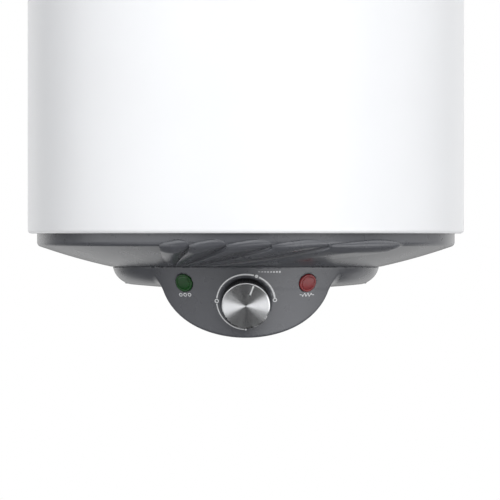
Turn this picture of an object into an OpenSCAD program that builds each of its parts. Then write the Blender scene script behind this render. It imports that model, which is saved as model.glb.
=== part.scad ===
/* [Jacket] */
// Outer diameter of the painted steel jacket
jacket_d = 445; // [430:5:460]
// Height of the jacket
jacket_h = 680; // [560:10:900]
// Thickness of the jacket's sheet
jacket_wall = 1; // [0.8:0.1:1.5]
// Outside radius of the jacket's lower and upper edges
edge_r = 4; // [3:1:6]
// Rise of the top cover above the jacket
top_rise = 14; // [10:1:20]
// Gap between the wall and the jacket's back
wall_gap = 14; // [12:1:20]

/* [Bottom dish] */
// Outer diameter of the dish's upright band
band_d = 426; // [420:1:428]
// Height of the band that shows below the jacket
band_h = 13; // [10:1:16]
// Depth below the jacket at which the dish meets the control cover
dish_h = 33.7; // [30:0.1:36]
// Thickness of the plastic mouldings
skin = 2.5; // [2:0.5:3]
// Height of the fan relief's fingers above the dish
relief_rise = 6; // [3:0.5:8]

/* [Control cover] */
// Diameter of the control cover where it meets the dish
cover_d = 272; // [266:1:276]
// Draft of the cover's wall, which tilts the dial towards the user below
draft = 19; // [17:1:21]
// Width of the tongue that carries the dial
tongue_w = 173; // [168:1:176]
// Depth of the tongue's lowest point below the jacket
tongue_h = 105.7; // [100:0.1:108]
// Depth of the dial's centre below the jacket
dial_h = 69.3; // [68:0.1:71]
// Diameter of the printed scale round the knob
scale_d = 58.8; // [56:0.2:61]

/* [Knob] */
// Diameter of the knob
knob_d = 49; // [45:0.5:50]
// Height of the knob's face above the panel
knob_rise = 12.8; // [11:0.1:15]
// Angle of the pointer clockwise from the top, at rest
pointer_angle = 20; // [0:5:60]

/* [Lamps] */
// Diameter of the pilot lamps' lenses
lens_d = 18.4; // [16:0.1:19]
// Distance of each lamp from the centre line
lamp_x = 62.5; // [60:0.5:66]
// Depth of the lamps' centres below the jacket
lamp_h = 50; // [48:0.5:51]

/* [Water side] */
// Outer diameter of the inner tank
tank_d = 400; // [390:1:402]
// Outer diameter of the water pipes, half-inch pipe thread
pipe_d = 20.96; // [20.5:0.01:21.3]
// Bore of the water pipes
pipe_bore = 15; // [14:0.5:16]
// Distance between the two water pipes
pipe_spacing = 100; // [96:1:104]
// Depth of the pipes' lower ends below the jacket
pipe_h = 84; // [80:1:86]

/* [Wall brackets] */
// Distance between the two hanging slots of a bracket
slot_spacing = 180; // [160:10:200]
// Width of a hanging slot
slot_w = 10; // [8:1:12]
// Length of a hanging slot
slot_l = 22; // [18:1:26]
// Height of the upper bracket's slots above the jacket's lower edge
upper_slot_h = 590; // [500:10:640]
// Height of the lower bracket's slots above the jacket's lower edge
lower_slot_h = 120; // [100:10:200]

/* [Hidden] */
$fn = 96;

gap = 0.3;              // clearance between neighbouring pieces that don't touch
jacket_r = jacket_d / 2;
tank_r = tank_d / 2;
band_r = band_d / 2;
cover_r = cover_d / 2;
axis_back = jacket_r + wall_gap;   // distance of the tank's axis from the wall

white = "white";
graphite = [0.34, 0.35, 0.37];
zinc = [0.72, 0.74, 0.76];
copper = [0.80, 0.47, 0.30];
black = [0.10, 0.10, 0.11];

// Everything is drawn about the tank's axis, with z = 0 at the jacket's lower edge and
// the front towards -Y. This puts it in the part's frame: the wall plane at y = 0 and
// the upper bracket's slots at z = 0.
module place() {
    translate([0, -axis_back, -upper_slot_h]) children();
}

// ---- shared shapes -------------------------------------------------------------------

// Points of an arc about c, from angle a to angle b.
function arc(c, r, a, b, n = 8) =
    [for (i = [0:n]) c + r * [cos(a + (b - a) * i / n), sin(a + (b - a) * i / n)]];

// Points from p to q on a shallow bow that stands rise proud on the right of p to q.
function bow(p, q, rise, n = 8) =
    let (d = q - p, side = [d[1], -d[0]] / norm(d))
    [for (i = [0:n]) let (t = i / n) p + d * t + side * 4 * rise * t * (1 - t)];

function unit(v) = v / norm(v);
function clamp01(x) = max(0, min(1, x));
function mix(a, b, t) = a + (b - a) * t;

// A closed solid over a grid of points: rows of equal length, the same number of columns.
module skin_solid(rows) {
    n = len(rows);
    m = len(rows[0]);
    points = [for (row = rows) each row];
    sides = [for (i = [0:n - 2], j = [0:m - 1])
        let (k = (j + 1) % m, a = i * m + j, b = i * m + k, c = a + m, d = b + m)
        each [[a, b, d], [a, d, c]]];
    polyhedron(points, concat(
        [[for (j = [m - 1:-1:0]) j]],
        sides,
        [[for (j = [0:m - 1]) (n - 1) * m + j]]));
}

// A closed ring through the columns, each of which is a closed outline.
module ring_solid(columns) {
    n = len(columns);
    m = len(columns[0]);
    polyhedron([for (c = columns) each c], [for (i = [0:n - 1], j = [0:m - 1])
        let (i2 = (i + 1) % n, j2 = (j + 1) % m, a = i * m + j, b = i * m + j2,
            c = i2 * m + j, d = i2 * m + j2)
        each [[a, b, d], [a, d, c]]]);
}

// A Catmull-Rom point on a list of points, at u from 0 to the last index.
function spline_at(pts, u) =
    let (last = len(pts) - 1, i = min(floor(u), last - 1), t = u - i,
        a = pts[max(i - 1, 0)], b = pts[i], c = pts[i + 1], d = pts[min(i + 2, last)])
    0.5 * (2 * b + (c - a) * t + (2 * a - 5 * b + 4 * c - d) * t * t
        + (3 * b - a - 3 * c + d) * t * t * t);

// A round wire of radius r along the points.
module wire(pts, r = 1.2, sides = 8, steps = 3) {
    last = len(pts) - 1;
    line = [for (i = [0:last * steps]) spline_at(pts, i / steps)];
    rings = [for (i = [0:len(line) - 1])
        let (
            t = unit(line[min(i + 1, len(line) - 1)] - line[max(i - 1, 0)]),
            ref = abs(t[0]) < 0.8 ? [1, 0, 0] : [0, 1, 0],
            u = unit(cross(t, ref)),
            v = cross(t, u))
        [for (j = [0:sides - 1])
            line[i] + r * (u * cos(360 * j / sides) - v * sin(360 * j / sides))]];
    skin_solid([for (i = [len(rings) - 1:-1:0]) rings[i]]);
}

// A plain tube along z.
module pipe(r, bore, h) {
    difference() {
        cylinder(r = r, h = h);
        translate([0, 0, -1]) cylinder(r = bore, h = h + 2);
    }
}

// A pan-head screw pointing along +z, its head below z = 0.
module pan_screw(d, length, head_d, head_h) {
    difference() {
        union() {
            cylinder(d = d, h = length, $fn = 24);
            translate([0, 0, -head_h]) cylinder(d = head_d, h = head_h, $fn = 32);
        }
        for (a = [0, 90]) rotate([0, 0, a])
            translate([-head_d * 0.3, -0.4, -head_h - 1])
                cube([head_d * 0.6, 0.8, head_h * 0.55 + 1]);
    }
}

module hex_nut(across, bore, h) {
    difference() {
        cylinder(d = across / cos(30), h = h, $fn = 6);
        translate([0, 0, -1]) cylinder(r = bore, h = h + 2, $fn = 32);
    }
}

// Children at an angle round the tank's axis, counted from the front towards +X.
module round_axis(angle, r, z) {
    rotate([0, 0, angle]) translate([0, -r, z]) children();
}

// ---- the control cover's cone and the frame of its panel --------------------------------

// Radius of the cover's drafted wall at height z.
function cone_r(z) = cover_r + (z + dish_h) * tan(draft);

// Children drawn with +z out of the panel and +y up it, at height z and a given x.
module on_panel(x, z) {
    round_axis(asin(x / cone_r(z)), cone_r(z), z) rotate([90 + draft, 0, 0]) children();
}

// The drafted wall as a solid, moved in by inset.
module wall_cone(inset = 0) {
    low = -tongue_h - 10;
    top = -dish_h + 4;
    shift = inset / cos(draft);
    translate([0, 0, low])
        cylinder(r1 = cone_r(low) - shift, r2 = cone_r(top) - shift, h = top - low, $fn = 180);
}

// ---- jacket, covers and insulation -------------------------------------------------------

band_corner = 5;
dome_r = cover_r + 1.5;
dome_rise = 1.1;

function jacket_profile() = concat(
    [[jacket_r, jacket_h], [jacket_r - jacket_wall, jacket_h]],
    arc([jacket_r - edge_r, edge_r], edge_r - jacket_wall, 0, -90),
    [[band_r + 1, jacket_wall], [band_r + 1, 0]],
    arc([jacket_r - edge_r, edge_r], edge_r, -90, 0));

module outer_jacket() color(white) difference() {
    rotate_extrude($fn = 180) polygon(jacket_profile());
    for (z = [upper_slot_h, lower_slot_h]) bracket_webs(z, gap);
}

top_shoulder = 12;

module top_cover() color(white) {
    crown = jacket_h + top_rise;
    rotate_extrude($fn = 180) polygon(concat(
        [[0, crown - 1.2], [0, crown]],
        bow([0, crown], [jacket_r - top_shoulder, crown - 2], -0.6, 6),
        arc([jacket_r - top_shoulder, crown - 2 - top_shoulder], top_shoulder, 80, 0, 8),
        [[jacket_r, jacket_h + 0.2], [jacket_r - jacket_wall - gap, jacket_h + 0.2],
         [jacket_r - jacket_wall - gap, jacket_h - 12], [jacket_r - 2.5, jacket_h - 12],
         [jacket_r - 2.5, crown - 2 - top_shoulder]],
        arc([jacket_r - top_shoulder, crown - 2 - top_shoulder], top_shoulder - 2.5, 0, 80, 6)));
}

ledge_r = 112;          // radius of the opening in the dish's middle
lip_z = jacket_wall + 0.2;
corner_low = -band_h + band_corner - 0.6;      // height at which the band turns into the corner
dome_low = [dome_r, -dish_h];
dome_high = [band_r - band_corner, corner_low] + band_corner * [cos(-78), sin(-78)];
dome_l = norm(dome_high - dome_low);
corner_l = band_corner * 78 * PI / 180;
face_l = dome_l + corner_l + lip_z - corner_low;

// Point [r, z] of the plain outer face at a distance l along it from the cover's edge, and
// the angle at which the face looks out there: 0 is straight down, 90 is level.
function face_at(l) =
    l <= dome_l
        ? let (t = l / dome_l, d = dome_high - dome_low)
            dome_low + d * t + [d[1], -d[0]] / dome_l * 4 * dome_rise * t * (1 - t)
        : l <= dome_l + corner_l
            ? let (a = -78 + 78 * (l - dome_l) / corner_l)
                [band_r - band_corner, corner_low] + band_corner * [cos(a), sin(a)]
            : [band_r, corner_low + l - dome_l - corner_l];
function face_angle(l) = mix(16, 90, clamp01((l - dome_l + 6) / (corner_l + 6)));

// The relief is a fan of five overlapping fingers. Its valleys leave one root on the
// control cover's left and sweep out to these angles round the band.
fan_root = -33;
fan_ends = [-24.3, -15.6, -5.4, 6.9, 23.3, 47.5];
fan_sweep = [1, 0.8, 0.66, 0.56, 0.48, 0.42];
fingers = 5;
// Shares of a finger's width at which its columns stand, closest where it springs up.
column_shares = [0, 0.015, 0.07, 0.2, 0.32, 0.46, 0.6, 0.75, 0.88, 0.96];
finger_cols = len(column_shares);
// Height of a finger at each share of its width: the first is a ridge, and the others
// stand up sharply at their upper edge, with a crest a little below it.
ridge_shape = [[0, 0], [0.015, 0.25], [0.46, 1], [0.96, 0.45], [1, 0]];
leaf_shape = [[0, 0], [0.015, 0.6], [0.07, 0.76], [0.2, 1], [0.32, 0.92], [0.6, 0.62], [0.88, 0.36],
    [0.96, 0.2], [1, 0]];
last_shape = [[0, 0], [0.015, 0.6], [0.07, 0.74], [0.32, 1], [0.46, 0.93], [0.88, 0.78],
    [0.96, 0.56], [1, 0]];
finger_shapes = [ridge_shape, leaf_shape, leaf_shape, leaf_shape, last_shape];
plain_cols = 48;
fan_cols = fingers * finger_cols;
tip_foot = dome_l + 4;
tip_crest = dome_l + corner_l + 2;

// Angle of column j of the dish at a distance l along its face.
function valley(i, l) =
    fan_root + (fan_ends[i] - fan_root) * pow(mix(0.05, 1, clamp01(l / dome_l)), fan_sweep[i]);
function share(j) = j < fan_cols ? column_shares[j % finger_cols] : 0;
function column_angle(j, l) =
    j < fan_cols
        ? let (i = floor(j / finger_cols)) mix(valley(i, l), valley(i + 1, l), share(j))
        : mix(valley(fingers, l), valley(0, l) + 360, (j - fan_cols) / plain_cols);

// How far finger i stands out, at share q across it and a distance l along it.
function finger_rise(i, q, l) =
    relief_rise * lookup(q, finger_shapes[i]) * pow(clamp01(l / dome_l), 0.8)
    * mix(1, 0.3, clamp01((l - dome_l + 4) / (corner_l + 6)));

// Distance along the face at which a finger's rounded tip ends.
function tip(q) = mix(tip_foot, tip_crest, pow(sin(180 * pow(q, 1.6)), 0.7));

function on_column(j, l, r, z) = let (a = column_angle(j, l)) [r * sin(a), -r * cos(a), z];
function dish_point(j, l, rise, inset = 0) =
    let (
        i = min(fingers - 1, floor(j / finger_cols)),
        p = face_at(l),
        out = rise ? finger_rise(i, share(j), l) : 0,
        a = face_angle(l))
    on_column(j, l, p[0] + out * sin(a), p[1] - out * cos(a) + inset);

outer_rows = 11;
inner_rows = 6;

// One column of the dish: down its outer face, over the lip and back along its inner face.
function dish_column(j) =
    let (end = tip(share(j)), in_r = band_r - skin, in_low = -dish_h + skin)
    concat(
        [on_column(j, 0, ledge_r, -dish_h)],
        [for (k = [0:outer_rows]) dish_point(j, k / outer_rows * (dome_l - 1), true)],
        [for (k = [1:3]) dish_point(j, mix(dome_l - 1, end, k / 3), true)],
        [for (k = [0:3]) dish_point(j, mix(end + 1, face_l, k / 3), false)],
        [on_column(j, face_l, band_r + 5.5, lip_z), on_column(j, face_l, band_r + 5.5, lip_z + 2),
         on_column(j, face_l, in_r, lip_z + 2), on_column(j, face_l, in_r, corner_low + 1)],
        [for (k = [inner_rows:-1:0]) dish_point(j, k / inner_rows * (dome_l - 3), true, skin)],
        [on_column(j, 0, ledge_r, in_low)]);

module bottom_dish() color(graphite) difference() {
    ring_solid([for (j = [0:fan_cols + plain_cols - 1]) dish_column(j)]);
    for (a = cover_screw_angles) round_axis(a, cover_screw_r, -50) cylinder(d = 4.1, h = 30, $fn = 24);
    for (s = [-1, 1]) translate([s * foot_x, foot_y, -50]) cylinder(d = 4.1, h = 30, $fn = 24);
}

module foam_insulation() color([0.93, 0.89, 0.68]) difference() {
    translate([0, 0, 5]) cylinder(r = jacket_r - jacket_wall - gap, h = jacket_h - 19);
    translate([0, 0, 4]) cylinder(r = flange_clear, h = 40);
    tank_body(gap);
    for (z = [upper_slot_h, lower_slot_h]) bracket_webs(z, gap);
}

// ---- wall brackets -------------------------------------------------------------------------

plate_t = 3;
bracket_w = 250;
bracket_h = 44;
web_x = bracket_w / 2 - plate_t;

// The two webs that run from a bracket's plate through the jacket to the tank.
module bracket_webs(z, grow = 0) {
    for (side = [-1, 1])
        translate([side * web_x - plate_t / 2 - grow, 0, z - bracket_h / 2 - grow])
            cube([plate_t + 2 * grow, axis_back, bracket_h + 2 * grow]);
}

module slot_hole(l, w, depth) {
    for (s = [-1, 1]) translate([s * (l - w) / 2, 0, 0]) rotate([90, 0, 0])
        cylinder(d = w, h = depth, center = true, $fn = 40);
    cube([l - w, depth, w], center = true);
}

module wall_bracket(z) color(zinc) difference() {
    union() {
        bracket_webs(z);
        translate([-web_x - plate_t / 2, axis_back - plate_t, z - bracket_h / 2])
            cube([2 * web_x + plate_t, plate_t, bracket_h]);
    }
    translate([0, 0, z - bracket_h]) cylinder(r = tank_r, h = 2 * bracket_h, $fn = 180);
    for (side = [-1, 1]) translate([side * slot_spacing / 2, axis_back, z])
        slot_hole(slot_l, slot_w, 4 * plate_t);
}

module wall_bracket_upper() wall_bracket(upper_slot_h);
module wall_bracket_lower() wall_bracket(lower_slot_h);

// ---- inner tank and its flange ---------------------------------------------------------------

tank_low = 12;                          // height of the tank's flat bottom
tank_high = jacket_h - 40;              // height of the tank's crown
tank_wall = 2;
head_rise = 48;                         // depth of the tank's domed heads
knuckle = 30;
flange_flat = 64;                       // radius of the flat that the flange ring sits on
flange_clear = 118;                     // radius kept free of foam round the flange
pipe_y = 68;                            // the pipes stand this far behind the tank's axis

module tank_body(grow = 0) {
    r = tank_r + grow;
    low = tank_low - grow;
    high = tank_high + grow;
    rotate_extrude($fn = 180) polygon(concat(
        [[0, low], [flange_flat, low]],
        bow([flange_flat, low], [r - knuckle, low + head_rise - knuckle], 7, 6),
        arc([r - knuckle, low + head_rise], knuckle, -62, 0, 5),
        arc([r - knuckle, high - head_rise], knuckle, 0, 62, 5),
        bow([r - knuckle, high - head_rise + knuckle], [0, high], 7, 8)));
}

opening_r = 41;
module inner_tank() color([0.16, 0.27, 0.42]) difference() {
    tank_body();
    tank_body(-tank_wall);
    translate([0, 0, tank_low - 5]) cylinder(r = opening_r, h = 10);
    for (side = [-1, 1]) translate([side * pipe_spacing / 2, pipe_y, 0])
        cylinder(d = pipe_d + 2 * gap, h = 40);
}

stud_circle = 55;
stud_count = 6;
module on_studs() {
    for (i = [0:stud_count - 1]) rotate([0, 0, 30 + i * 360 / stud_count])
        translate([stud_circle, 0, 0]) children();
}

ring_low = tank_low - 8;
plate_top = ring_low - 1.5;
flange_t = 4;
plate_low = plate_top - flange_t;
nut_h = 6.5;

module flange_ring() color(zinc) difference() {
    translate([0, 0, ring_low]) pipe(62, opening_r, tank_low - ring_low);
    on_studs() translate([0, 0, ring_low - 1]) cylinder(r = 4.1, h = 10, $fn = 32);
}

module flange_studs() color(zinc) on_studs()
    translate([0, 0, plate_low - 10]) cylinder(r = 4, h = tank_low - plate_low + 9.9, $fn = 32);

module flange_gasket() color([0.75, 0.20, 0.15])
    translate([0, 0, plate_top]) pipe(50, opening_r + 1, ring_low - plate_top);

element_x = 18;
element_y = -20;
anode_y = 22;
pocket_x = -22;
pocket_y = 8;
earth_x = 30;
earth_y = 12;

module flange_plate() color(zinc) difference() {
    translate([0, 0, plate_low]) cylinder(r = 62, h = flange_t);
    on_studs() translate([0, 0, plate_low - 1]) cylinder(r = 4.3, h = 8, $fn = 32);
    for (side = [-1, 1]) translate([side * element_x, element_y, plate_low - 1])
        cylinder(r = 4.05, h = 8, $fn = 32);
    translate([0, anode_y, plate_low - 1]) cylinder(r = 3.05, h = 8, $fn = 32);
    translate([pocket_x, pocket_y, plate_low - 1]) cylinder(r = 6.05, h = 8, $fn = 32);
    translate([earth_x, earth_y, plate_low - 1]) cylinder(r = 2.05, h = 8, $fn = 32);
}

module flange_nuts() color(zinc) on_studs()
    translate([0, 0, plate_low - nut_h]) hex_nut(13, 4.05, nut_h);

element_top = 300;
element_turn = 70;                      // height of the element's lower bends
module element_bend(x, r, z, up) {
    translate([x, element_y, z]) rotate([90, 0, 0]) rotate([0, 0, up ? 0 : 180])
        rotate_extrude(angle = 180, $fn = 64) translate([r, 0]) circle(r = 4, $fn = 32);
}

// A tube bent like a letter M: down to the flange at its ends, up over two crowns.
module heating_element() color(copper) {
    leg_x = element_x / 3;
    for (side = [-1, 1]) {
        translate([side * element_x, element_y, plate_low - 5])
            cylinder(r = 4, h = element_top - plate_low + 5, $fn = 32);
        translate([side * leg_x, element_y, element_turn])
            cylinder(r = 4, h = element_top - element_turn, $fn = 32);
        element_bend(side * 2 * leg_x, leg_x, element_top, true);
    }
    element_bend(0, leg_x, element_turn, false);
}

module element_terminals() for (side = [-1, 1])
    translate([side * element_x, element_y, plate_low - 5]) {
        color("ivory") translate([0, 0, -6]) cylinder(r = 4.5, h = 6, $fn = 32);
        color(zinc) translate([-3.15, -0.4, -15]) cube([6.3, 0.8, 9]);
    }

module anode_rod() color([0.62, 0.63, 0.64]) difference() {
    translate([0, anode_y, 10]) cylinder(r = 11, h = 300, $fn = 48);
    translate([0, anode_y, 9]) cylinder(r = 3, h = 31, $fn = 32);
}

module anode_stud() color(zinc) translate([0, anode_y, 0]) {
    translate([0, 0, plate_low - 10]) cylinder(r = 3, h = 49 - plate_low, $fn = 32);
    translate([0, 0, plate_low - 5]) hex_nut(10, 3, 5);
    translate([0, 0, plate_top]) hex_nut(10, 3, 5);
}

module sensor_pocket() color([0.85, 0.78, 0.62])
    translate([pocket_x, pocket_y, plate_low - 4]) difference() {
        cylinder(r = 6, h = 260, $fn = 40);
        translate([0, 0, -1]) cylinder(r = 5.2, h = 259, $fn = 40);
    }

module sensor_bulbs() color(copper) for (side = [-1, 1])
    translate([pocket_x + side * 2.4, pocket_y, plate_low - 12]) cylinder(r = 2.2, h = 150, $fn = 24);

// ---- water pipes -----------------------------------------------------------------------------

module at_pipe(side) translate([side * pipe_spacing / 2, pipe_y, 0]) children();

// A water pipe: the threaded end stands a little proud of the plain pipe above it.
thread_l = 22;
plain_r = pipe_d / 2 - 0.2;
module water_pipe(top) color(zinc) translate([0, 0, -pipe_h]) difference() {
    union() {
        cylinder(d = pipe_d, h = thread_l);
        cylinder(r = plain_r, h = pipe_h + top);
    }
    translate([0, 0, -1]) cylinder(d = pipe_bore, h = pipe_h + top + 2);
}
module cold_inlet_pipe() at_pipe(1) water_pipe(50);
module hot_outlet_pipe() at_pipe(-1) water_pipe(50);

// A thin tube from the outlet pipe's upper end draws the hot water off under the tank's top.
riser_z = 30;
module outlet_riser() color(zinc) at_pipe(-1) translate([0, 0, riser_z])
    pipe(pipe_bore / 2 - 0.1, pipe_bore / 2 - 1.3, tank_high - 60 - riser_z);

// A cap with side holes, so that the cold jet doesn't stir the hot water above.
module inlet_diffuser() color([0.90, 0.90, 0.86]) at_pipe(1) translate([0, 0, 38]) difference() {
    cylinder(r = pipe_d / 2 + 3, h = 30, $fn = 64);
    translate([0, 0, -1]) cylinder(r = plain_r + 0.1, h = 28, $fn = 64);
    for (a = [0:60:179]) rotate([0, 90, a]) translate([-19, 0, 0])
        cylinder(r = 3, h = 60, center = true, $fn = 32);
}

collar_h = 6;
cover_low = 57.5;                       // depth of the control cover's lowest part behind the tongue
crown_rise = 1200;                      // radius of the cover's slightly bowed underside
function cover_floor(r) = -cover_low + r * r / (2 * crown_rise);
collar_z = cover_floor(84) - collar_h;

module collar(side) at_pipe(side) translate([0, 0, collar_z]) difference() {
    union() {
        cylinder(r = 14.5, h = collar_h - 1.3, $fn = 64);
        cylinder(r = 12.6, h = collar_h + 6, $fn = 64);
    }
    translate([0, 0, -1]) cylinder(r = plain_r + 0.05, h = 20, $fn = 64);
}
module cold_collar() color([0.10, 0.30, 0.75]) collar(1);
module hot_collar() color([0.78, 0.12, 0.10]) collar(-1);

module pipe_sockets() color(zinc) for (side = [-1, 1])
    at_pipe(side) translate([0, 0, 1]) pipe(15, plain_r + 0.05, 10);

// ---- control cover -----------------------------------------------------------------------------

drum_corner = 12;
corner_z = -42.2;                       // height at which the drafted wall ends and its corner starts
egg_y = -103;                           // the egg-shaped tongue's axis, across the front
egg_mid = 44.5;                         // its depth below the jacket
front_wall = 3;
boss_t = 7;                             // thickness of the panel behind the knob
well_depth = 3.2;
well_r = knob_d / 2 + 1.1;

// Half of the drum's section: drafted wall, round corner and slightly bowed floor.
function drum_profile(inset) =
    let (
        top = -dish_h - 0.2,
        corner_r = drum_corner - inset,
        c = [cone_r(corner_z), corner_z] - drum_corner * [cos(draft), -sin(draft)],
        edge = c + corner_r * [cos(-90 + 5), sin(-90 + 5)])
    concat(
        [[0, top + (inset > 0 ? 5 : 0)], [cone_r(top) - inset / cos(draft), top + (inset > 0 ? 5 : 0)],
         [cone_r(top) - inset / cos(draft), top]],
        arc(c, corner_r, -draft, -85, 7),
        [for (k = [1:4]) let (r = edge[0] * (1 - k / 4)) [r, cover_floor(r) + inset]]);

module drum(inset = 0) rotate_extrude($fn = 180) polygon(drum_profile(inset));

// The tongue is an egg lying across the front, cut off by the drafted wall.
module tongue(inset = 0) intersection() {
    long_r = tongue_w / 2 - inset;
    short_r = tongue_h - egg_mid - inset;
    translate([0, egg_y, -egg_mid]) rotate([0, 90, 0]) rotate_extrude($fn = 120)
        polygon([for (i = [0:24]) let (a = -90 + 180 * i / 24) [short_r * cos(a), long_r * sin(a)]]);
    wall_cone(inset);
}

module panel_cuts() {
    on_panel(0, -dial_h) {
        translate([0, 0, -well_depth]) cylinder(r = well_r, h = 20);
        translate([0, 0, -20]) cylinder(r = 4, h = 40, $fn = 48);
        for (s = [-1, 1]) translate([s * 14, 0, -20]) cylinder(r = 2.1, h = 20, $fn = 24);
    }
    for (side = [-1, 1]) on_panel(side * lamp_x, -lamp_h)
        translate([0, 0, -15]) cylinder(d = lens_d - 1.6, h = 20, $fn = 64);
    for (side = [-1, 1]) on_panel(side * lamp_x, -lamp_h)
        translate([0, 0, -1.6]) cylinder(d = lens_d + 0.5, h = 20, $fn = 64);
}

cover_screw_angles = [90, 180, 270];
cover_screw_r = 117;
foot_x = 85;                            // the component bracket's screws
foot_y = -80;
gland_y = 95;
gland_r = 4.5;

module control_cover() color(graphite) difference() {
    union() {
        difference() {
            union() {
                drum();
                tongue();
            }
            drum(skin);
            tongue(front_wall);
            translate([0, 0, -cover_low + 15]) cylinder(r = 100, h = 30);
        }
        intersection() {
            on_panel(0, -dial_h) translate([0, 0, -boss_t]) cylinder(r = 30, h = 12);
            wall_cone(front_wall / 2);
        }
        for (side = [-1, 1]) intersection() {
            on_panel(side * lamp_x, -lamp_h) translate([0, 0, -5]) cylinder(r = 13, h = 10, $fn = 64);
            wall_cone(front_wall / 2);
        }
        for (a = cover_screw_angles) round_axis(a, cover_screw_r, -50) cylinder(r = 5.2, h = 16, $fn = 32);
    }
    panel_cuts();
    translate([0, 0, -dish_h - 0.2]) cylinder(r = cover_r + 10, h = 20);
    for (a = cover_screw_angles) round_axis(a, cover_screw_r, -70) {
        cylinder(r = 2.1, h = 60, $fn = 24);
        cylinder(r = 4, h = 24, $fn = 32);
    }
    for (side = [-1, 1]) at_pipe(side) translate([0, 0, -80]) cylinder(r = 12.8, h = 60, $fn = 64);
    translate([0, gland_y, -80]) cylinder(r = 8.1, h = 60, $fn = 64);
}

// ---- knob and dial ----------------------------------------------------------------------------

knob_r = knob_d / 2;
knob_base = -well_depth + 0.5;
cap_t = 1.5;
shaft_r = 3;

// Children turned with the pointer, in the panel's frame.
module at_dial() on_panel(0, -dial_h) rotate([0, 0, -pointer_angle]) children();

module shaft_section(r) intersection() {
    circle(r = r, $fn = 40);
    translate([-r, -r]) square([2 * r, 2 * r - 1.5]);
}

grip_count = 40;
module knob_body() color(black) at_dial() difference() {
    translate([0, 0, knob_base]) cylinder(r = knob_r, h = knob_rise - cap_t - knob_base);
    for (i = [0:grip_count - 1]) rotate([0, 0, 360 * i / grip_count])
        translate([knob_r + 0.3, 0, knob_base - 1])
            cylinder(r = 0.8, h = knob_rise - cap_t - knob_base - 0.5, $fn = 24);
    translate([0, 0, knob_base - 1]) linear_extrude(12) shaft_section(shaft_r + 0.02);
    translate([0, 0, knob_base - 1]) difference() {
        cylinder(r = knob_r - 2.5, h = 9);
        translate([0, 0, -1]) cylinder(r = 7, h = 11);
    }
    translate([-2.8, 1.45, knob_base - 1]) cube([5.6, 1.15, 8]);
}

module knob_cap() color([0.80, 0.81, 0.82]) at_dial() difference() {
    translate([0, 0, knob_rise - cap_t]) {
        cylinder(r = knob_r, h = cap_t - 0.8);
        translate([0, 0, cap_t - 0.8]) cylinder(r1 = knob_r, r2 = knob_r - 0.8, h = 0.8);
    }
    pointer_slot(0.02);
}

module pointer_slot(grow = 0) translate([-0.7 - grow, 12.6 - grow, knob_rise - 0.5])
    cube([1.4 + 2 * grow, 10.2 + 2 * grow, 0.5 + (grow > 0 ? 1 : 0)]);

module knob_pointer() color(white) at_dial() pointer_slot();

module knob_clip() color(zinc) at_dial() translate([-2.6, 1.6, knob_base]) cube([5.2, 0.8, 6]);

module thermostat_shaft() color(zinc) at_dial() translate([0, 0, -boss_t - 6])
    linear_extrude(boss_t + 6 + knob_base + 9) shaft_section(shaft_r);

body_back = boss_t + 0.2;
module thermostat_body() color([0.86, 0.85, 0.80]) on_panel(0, -dial_h) difference() {
    union() {
        translate([0, 0, -body_back - 14]) cylinder(r = 17, h = 14);
        translate([-19, -6, -body_back - 1.2]) cube([38, 12, 1.2]);
        for (x = [-8, 8]) translate([x - 3.1, -12, -body_back - 22]) cube([6.2, 0.8, 8.1]);
    }
    translate([0, 0, -body_back - 7]) cylinder(r = shaft_r + 0.06, h = 10, $fn = 40);
    for (s = [-1, 1]) translate([s * 14, 0, -body_back - 7]) cylinder(r = 1.9, h = 10, $fn = 24);
}

module thermostat_screws() color(zinc) on_panel(0, -dial_h) for (s = [-1, 1])
    translate([s * 14, 0, -well_depth + 0.02]) {
        translate([0, 0, -9.5]) cylinder(r = 1.85, h = 9.5, $fn = 24);
        cylinder(r = 3.4, h = 1.6, $fn = 32);
    }

// Things printed on the panel: a skin 0.15 mm thick on the drafted wall.
ink = 0.15;
module printed() intersection() {
    difference() {
        wall_cone(-ink);
        wall_cone(0);
    }
    children();
}

// The scale's line grows from its low end to its high end. Angles run clockwise from the top.
function stroke_at(a) = mix(0.45, 0.9, (a + 180) / 270);
module scale_arc(from, to) {
    n = max(2, ceil((to - from) / 6));
    angles = [for (i = [0:n]) from + (to - from) * i / n];
    r = scale_d / 2;
    polygon(concat(
        [for (a = angles) (r + stroke_at(a)) * [sin(a), cos(a)]],
        [for (i = [n:-1:0]) let (a = angles[i]) (r - stroke_at(a)) * [sin(a), cos(a)]]));
}

module scale_ring_mark(a) translate(scale_d / 2 * [sin(a), cos(a)]) difference() {
    circle(r = 2.2, $fn = 40);
    circle(r = 1.2, $fn = 40);
}

module dial_scale() color([0.88, 0.88, 0.88]) printed() on_panel(0, -dial_h)
    translate([0, 0, -8]) linear_extrude(12) {
        scale_arc(-177, -96);
        scale_arc(-84, pointer_angle - 6);
        scale_arc(pointer_angle + 6, 82);
        scale_ring_mark(-90);
        scale_ring_mark(88);
        translate(scale_d / 2 * [sin(pointer_angle), cos(pointer_angle)]) circle(r = 1.7, $fn = 40);
    }

// A line of short strokes, zigzag or flat, for the plain symbols under the lamps.
module zigzag(n, w, h, t) for (i = [0:n - 1]) {
    a = [-w / 2 + w * i / n, (i % 2 ? h : -h) / 2];
    b = [-w / 2 + w * (i + 1) / n, (i % 2 ? -h : h) / 2];
    translate((a + b) / 2) rotate([0, 0, atan2(b[1] - a[1], b[0] - a[0])])
        square([norm(b - a) + t * 0.6, t], center = true);
}

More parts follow.
